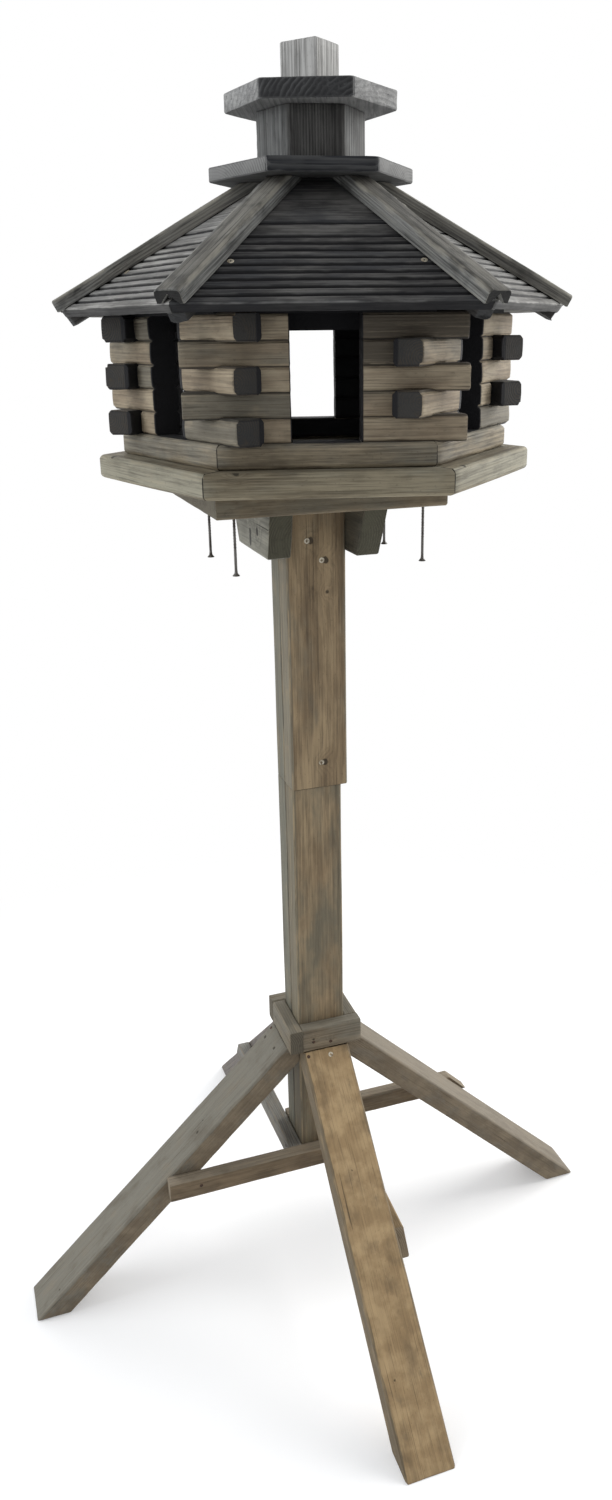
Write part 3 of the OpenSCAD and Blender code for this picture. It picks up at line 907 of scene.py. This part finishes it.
rafter_wide, rafter_tall = 18 * MM, 20 * MM
rafter_past, rafter_head = 9 * MM, 30 * MM
rafter_pine = weathered(
    "hip rafters, black-grey pine", (0.06, 0.058, 0.055), (0.03, 0.028, 0.026), (0.08, 0.08, 0.078),
    (0.012, 0.012, 0.012), greyed=0.3, ends=(0.035, 0.036, 0.037), wild=0.2,
)
piece = Piece()
for k, place in enumerate(hip_places):
    half = rafter_wide / 2
    outline = [(y, under_boards(k, y), 0.0) for y in (half, 0.0, -half)]
    outline += [(-half, -rafter_tall, 0.5), (half, -rafter_tall, 0.5)]
    tips = [
        sawn(place, side.place.translation, side.place.to_3x3() @ Vector((0, 1, 0)))
        for side in (roof_sides[k - 1], roof_sides[k])
    ]
    top = sawn(place, (0, 0, level), (0, 0, 1))
    outward = (roof @ turned(hips[k])).to_3x3() @ Vector((1, 0, 0))
    head = sawn(place, roof.translation + rafter_head * outward, outward)
    piece.timber(
        along(outline, 5 * MM), lambda y, z: max(top(y, z), head(y, z)),
        lambda y, z: min(rafter_past, *(tip(y, z) for tip in tips)), place, (0.01, 0.03), ease=0.4 * MM,
    )
piece.fix("hip_rafters_timber", ["hip_rafters"], "log_pine", rafter_pine)

# ---- Roof boards ----
# Each side has two pine boards: a broad one with ridges and grooves at the eaves and a plain one above,
# mitred at the hips and cut level at the top. They are stained black, and on the four sides beside the
# front and back they are coloured lighter grey, as painted sheen and light.

board_wide, rib, ribs, board_gap = 125 * MM, 11.6 * MM, 9, 1.5 * MM


def grooves_and_eaves(board):
    """The grooves, the gap between the boards and the edge at the eaves, which are coloured black."""
    up = board.part(1)
    off = abs((up / rib + 0.5) % 1.0 - 0.5) * rib
    ribbed_part = up.eased(0.5 * rib, 0.6 * rib) * up.eased((ribs + 0.5) * rib, (ribs + 0.4) * rib)
    gap = abs(up - board_wide - board_gap / 2).eased(2.6 * MM, 1.8 * MM)
    eaves = 0.75 * up.eased(0.9 * MM, 0.3 * MM)
    return (0.95 * off.eased(3.4 * MM, 1.8 * MM) * ribbed_part).most(gap).most(eaves)


roof_look = dict(
    wild=0.2, roughness=0.7, gloss=0.18, streaky=0.6, threads=0.6, ring=2.2 * MM, top_grey_and_light=0.0,
    stained=grooves_and_eaves,
)
# The light lines along the ridges are partly rubbed-off stain and partly painted highlight.
roof_black = weathered(
    "roof boards, black stain", (0.125, 0.122, 0.116), (0.03, 0.029, 0.029), (0.038, 0.04, 0.044),
    (0.007, 0.007, 0.008), greyed=0.45, rubbed=0.9, bare=(0.2, 0.2, 0.195), **roof_look,
)
# Painted sheen and light: the four sides beside the front and back are coloured lighter grey for the sheen
# and light they catch.
roof_painted_sheen = weathered(
    "side roof boards, black stain painted grey for sheen", (0.35, 0.343, 0.324), (0.152, 0.148, 0.138), (0.237, 0.235, 0.226),
    (0.026, 0.025, 0.024), rubbed=0.6, bare=(0.34, 0.335, 0.315), **roof_look,
)


def ribbed():
    """The section of the grooved board, up the slope: flat below and round-shouldered ridges on top."""
    points = [(0.0, -board_depth, 0.6), (board_wide, -board_depth, 0.6), (board_wide, -1.0 * MM, 0.0)]
    points.append((board_wide - 1.0 * MM, 0.0, 0.8))
    half_groove = ((2.9, 0.0, 0.3), (1.9, 0.6, 0.8), (1.0, 3.0, 0.0))
    groove = half_groove + tuple((-off, sunk, wear) for off, sunk, wear in reversed(half_groove))
    for k in range(ribs, 0, -1):
        for off, sunk, wear in groove:
            points.append((k * rib + off * MM, -sunk * MM, wear))
    points += [(1.2 * MM, 0.0, 0.8), (0.0, -1.2 * MM, 1.0)]
    return along(points, 12 * MM)


def plain(slope):
    """The section of the upper board, which is cut level at the top."""
    lower = board_wide + board_gap

    def top(z):
        return (level - eave_top - z * math.cos(slope)) / math.sin(slope)

    points = [
        (lower, -board_depth, 0.6), (top(-board_depth), -board_depth, 0.6), (top(0.0), 0.0, 0.5),
        (lower + 1.2 * MM, 0.0, 0.8), (lower, -1.2 * MM, 1.0),
    ]
    return along(points, 12 * MM)


board_screws_up, board_screws_in = 5.5 * rib, 20 * MM
roof_fixings = Turning()
for k, where in enumerate(sides):
    node, lie = "roof_panel_" + where, roof_sides[(k + 4) % 6]
    piece = Piece()
    for section in (ribbed(), plain(lie.slope)):
        piece.timber(
            section, lambda y, z: mitre_gap - lie.edge(y, z), lambda y, z: lie.edge(y, z) - mitre_gap,
            lie.place, (0.03, 0.03), spacing=9 * MM, uneven=0.5 * MM, ease=0.25 * MM,
        )
    pine = roof_black if where in ("front", "back") else roof_painted_sheen
    piece.fix(node + "_boards", [node], "roof_boards", pine)
    across = lie.edge(board_screws_up, 0) - board_screws_in
    for hand in (1, -1):
        roof_fixings.rings(lie.place @ moved(hand * across, board_screws_up, 0), small_head)
roof_fixings.fix("roof_screw_heads", [], "screw_steel", steel_dull)

# ---- Hip battens ----
# A pine batten lies on each hip. The V notch along its underside clears the joint of the boards, and its
# feet sit on both sides. It runs out to the eaves.

batten_wide, batten_tall, batten_seat = 28 * MM, 13 * MM, 2.9 * MM
notch_half, notch_deep = 8.5 * MM, 8.5 * MM
batten_past = [2 * MM, 2 * MM, 2 * MM, 2 * MM, -3 * MM, 2 * MM]
batten_pine = weathered(
    "hip battens, silver-grey pine", (0.2, 0.192, 0.168), (0.11, 0.104, 0.09), (0.225, 0.227, 0.216),
    (0.022, 0.022, 0.021), ends=(0.006, 0.006, 0.0065), bare=(0.3, 0.285, 0.24), greyed=0.2, side_grey_and_light=0.45,
    top_grey_and_light=-0.15, ring=2.4 * MM, rubbed=0.8, streaky=0.8, mottled=0.7, contrast=0.5, threads=0.8,
)
half, crown = batten_wide / 2, batten_tall - batten_seat
foot_in, foot_rise, round_r = 10.5 * MM, 0.5 * MM, 3 * MM
batten_section = []
for hand, angles in ((1, (0, 30, 60, 90)), (-1, (90, 120, 150, 180))):
    for angle in angles:
        out, rise = round_r * math.cos(math.radians(angle)), round_r * math.sin(math.radians(angle))
        batten_section.append((hand * (half - round_r) + out, crown - round_r + rise, 0.9))
foot = [(half, -batten_seat), (foot_in, -batten_seat), (notch_half, -batten_seat + foot_rise)]
batten_section += [(-y, z, 0.2) for y, z in foot]
batten_section.append((0.0, notch_deep - batten_seat, 0.0))
batten_section += [(y, z, 0.2) for y, z in reversed(foot)]
for where, numbers in (("front", (4, 5)), ("sides", (0, 3)), ("back", (1, 2))):
    node = "hip_battens_" + where
    piece = Piece()
    for k in numbers:
        top = sawn(hip_places[k], (0, 0, level), (0, 0, 1))
        piece.timber(
            along(batten_section, 5 * MM), top, batten_past[k], hip_places[k], (0.005, 0.035),
            spacing=8 * MM, uneven=0.7 * MM,
        )
    piece.fix(node + "_timber", [node], "batten_pine", batten_pine)

# ---- Stepped top ----
# A hexagonal pine plate covers the ends of the battens. A hexagonal block stands on it, with a thicker
# plate and a small square block on top. The grain of the thicker plate runs from front to back.


def hexagon(radius):
    """A hexagon with its corners a little rubbed."""
    soft = 2 * MM
    points = []
    for k in range(6):
        angle = math.radians(60 * k)
        r = radius - soft * 0.6
        for off in (-soft, soft):
            y = r * math.cos(angle) - off * math.sin(angle)
            z = r * math.sin(angle) + off * math.cos(angle)
            points.append((y, z, 0.8))
    return along(points, 8 * MM)


def stacked(name, node, section, turn, fibre, pith, material):
    """A block or plate of the stepped top: its section lies flat and its height is its node's."""
    low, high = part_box(node)
    upright = Matrix(((0, 1, 0, 0), (0, 0, 1, 0), (1, 0, 0, 0), (0, 0, 0, 1)))
    place = house @ turned(turn) @ moved(0, 0, low[2]) @ upright
    piece = Piece()
    piece.timber(
        section, 0.0, high[2] - low[2], place, pith, spacing=7 * MM, uneven=0.4 * MM, fibre=fibre,
    )
    piece.fix(name, [node], "top_pine", material)


top_look = dict(streaky=0.5, contrast=0.6, threads=0.7, wild=0.2, gloss=0.2)
# Painted light: the lower plate's underside gets the lighter grey coat, for the light thrown up from the
# floor; its top stays black.
lower_plate_lit_below = weathered(
    "lower plate, black-stained pine painted lighter below", (0.022, 0.024, 0.028), (0.011, 0.012, 0.015), (0.18, 0.182, 0.18),
    (0.085, 0.086, 0.087), greyed=0.0, top_grey_and_light=-0.4, ends=(0.225, 0.225, 0.22), bare=(0.08, 0.08, 0.08),
    **top_look,
)
drum_pine = weathered(
    "drum, dark pine", (0.105, 0.103, 0.098), (0.05, 0.048, 0.046), (0.175, 0.178, 0.175),
    (0.012, 0.012, 0.012), greyed=0.0, side_grey_and_light=0.4, **top_look,
)
cap_pine = weathered(
    "cap block, light grey pine", (0.56, 0.552, 0.535), (0.38, 0.372, 0.355), (0.48, 0.478, 0.465),
    (0.1, 0.097, 0.092), greyed=0.8, ends=(0.25, 0.25, 0.25), **top_look,
)
upper_pine = weathered(
    "upper plate, grey pine with black ends", (0.32, 0.32, 0.312), (0.22, 0.22, 0.216), (0.3, 0.302, 0.298),
    (0.11, 0.111, 0.113), ring=4.6 * MM, ends=(0.019, 0.0195, 0.021), bare=(0.16, 0.16, 0.158), **top_look,
)
lower_r, drum_r, upper_r, cap_wide = 103 * MM, 54.7 * MM, 85.5 * MM, 42 * MM
cap_section = board_section(cap_wide, cap_wide, 1.8 * MM)
stacked("lower_plate_board", "lower_plate", hexagon(lower_r), 3.5, (1, 2, 0), (0.01, 0.03), lower_plate_lit_below)
stacked("drum_block", "drum", hexagon(drum_r), 2.5, (0, 1, 2), (0.09, 0.03), drum_pine)
stacked("upper_plate_board", "upper_plate", hexagon(upper_r), -6.5, (2, 1, 0), (-0.07, 0.05), upper_pine)
stacked("cap_block_timber", "cap_block", cap_section, 53, (0, 1, 2), (0.05, 0.02), cap_pine)

# ---- Studio ----
# A plain white room: a pale floor that turns white further out, and soft light from both sides
# and from behind.

room = bpy.data.worlds.new("white room")
bpy.context.scene.world = room
room.use_nodes = True
tree = room.node_tree
camera_ray, glossy_ray, clear_ray = (
    Field.node(tree, "LightPath", {}, {}, ray)
    for ray in ("Is Camera Ray", "Is Glossy Ray", "Is Transmission Ray")
)
seen = camera_ray.most(glossy_ray).most(clear_ray)
sky = Field.node(tree, "Background", {}, {"Color": (0.97, 0.98, 1.0, 1.0), "Strength": 0.6})
white = Field.node(tree, "Background", {}, {"Color": (1.0, 1.0, 1.0, 1.0), "Strength": 1.0})
blend = Field.node(tree, "MixShader", {}, {0: seen, 1: sky, 2: white})
blend.into(tree.nodes["World Output"], "Surface")

floor_finish, tree, shader = paint("white floor")
seen = Field.node(tree, "LightPath", {}, {}, "Is Camera Ray")
spot = Field.node(tree, "TexCoord", {}, {}, "Object")
far = spot.measured("LENGTH").eased(0.45, 1.2)
matt = Field.node(tree, "BsdfDiffuse", {}, {"Color": (0.8, 0.8, 0.8, 1.0)})
glow = Field.node(tree, "Emission", {}, {"Color": (0.97, 0.98, 1.0, 1.0), "Strength": 0.24})
both = Field.node(tree, "AddShader", {}, {0: matt, 1: glow})
clear = Field.node(tree, "Emission", {}, {"Color": (1.0, 1.0, 1.0, 1.0), "Strength": 1.0})
shown = Field.node(tree, "MixShader", {}, {0: far, 1: both, 2: clear})
lit = Field.node(tree, "MixShader", {}, {0: seen, 1: matt, 2: shown})
lit.into(tree.nodes["Material Output"], "Surface")
wide = 6.0
mesh = bpy.data.meshes.new("floor")
mesh.from_pydata([(-wide, -wide, 0), (wide, -wide, 0), (wide, wide, 0), (-wide, wide, 0)], [], [(0, 1, 2, 3)])
mesh.materials.append(floor_finish)
in_scene("floor", mesh)
middle = Vector((0.0, 0.0, 0.8))


def lamp(name, place, size, power, colour):
    """A wide soft lamp that shines at the middle of the feeder."""
    light = bpy.data.lights.new(name, "AREA")
    light.shape = "RECTANGLE"
    light.size, light.size_y = size
    light.energy = power
    light.color = colour
    holder = in_scene(name, light)
    holder.location = place
    holder.rotation_euler = (middle - Vector(place)).to_track_quat("-Z", "Y").to_euler()


lamp("window on the left", (-2.6, 0.5, 1.9), (2.0, 2.4), 45, (0.96, 0.98, 1.0))
lamp("window on the right", (2.6, 0.3, 1.8), (2.0, 2.4), 88, (1.0, 0.99, 0.97))
lamp("window behind", (0.3, 2.6, 2.4), (3.0, 2.0), 22, (1.0, 1.0, 1.0))

camera_data = bpy.data.cameras.new("camera")
camera_data.lens = 26.64
camera_data.sensor_width = 36
camera_data.shift_x = -0.0193
camera = in_scene("camera", camera_data)
heading, downward, roll = -19.2, 20.7, -0.7
lens_place = moved(-0.3734, -1.1673, 1.18)
camera.matrix_world = lens_place @ turned(heading) @ turned(90 - downward, "X") @ turned(roll)
bpy.context.scene.camera = camera
bpy.context.scene.view_settings.view_transform = "Standard"
